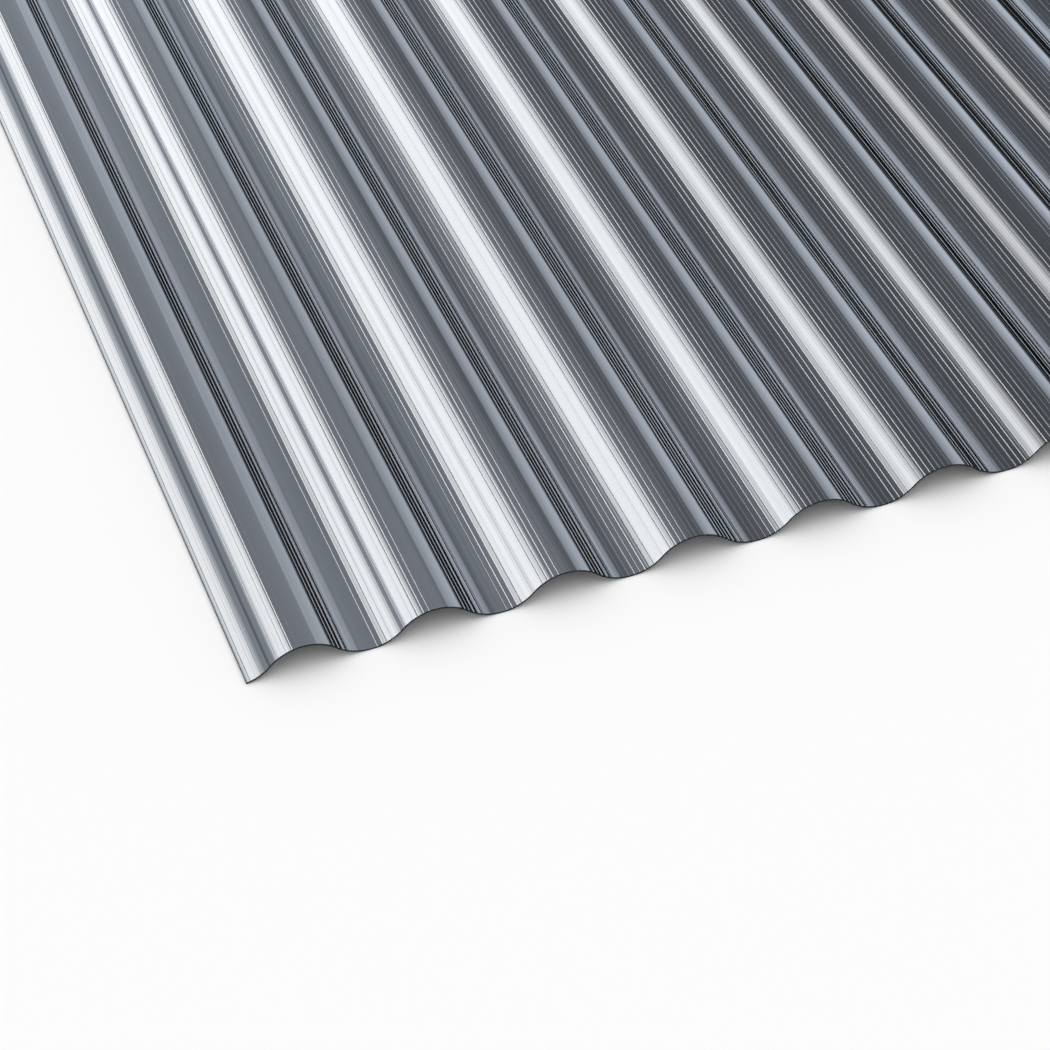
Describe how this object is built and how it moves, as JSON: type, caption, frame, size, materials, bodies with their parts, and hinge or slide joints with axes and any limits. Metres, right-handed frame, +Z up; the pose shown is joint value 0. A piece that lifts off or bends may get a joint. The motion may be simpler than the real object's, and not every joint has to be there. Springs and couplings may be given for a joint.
{
  "type": "corrugated polycarbonate sheet",
  "caption": "Smoke-tinted, see-through roofing sheet with smooth round corrugations, extruded in one piece and cut square at both ends.",
  "frame": {"origin": "middle of the rectangle that the sheet covers, at its lowest point, on the floor that the undersides of its troughs rest on", "axes": "+X across the corrugations, +Y along them, +Z up out of the crests; the left edge, slit just past the middle of a trough, is at -X"},
  "size_m": [0.86, 1.8, 0.0158],
  "materials": {
    "smoked_polycarbonate": "clear gloss, smoke-grey tint, see-through, with faint lines along the extrusion"
  },
  "bodies": {
    "root": {"corrugated_sheet": "smoked_polycarbonate"}
  },
  "joints": []
}
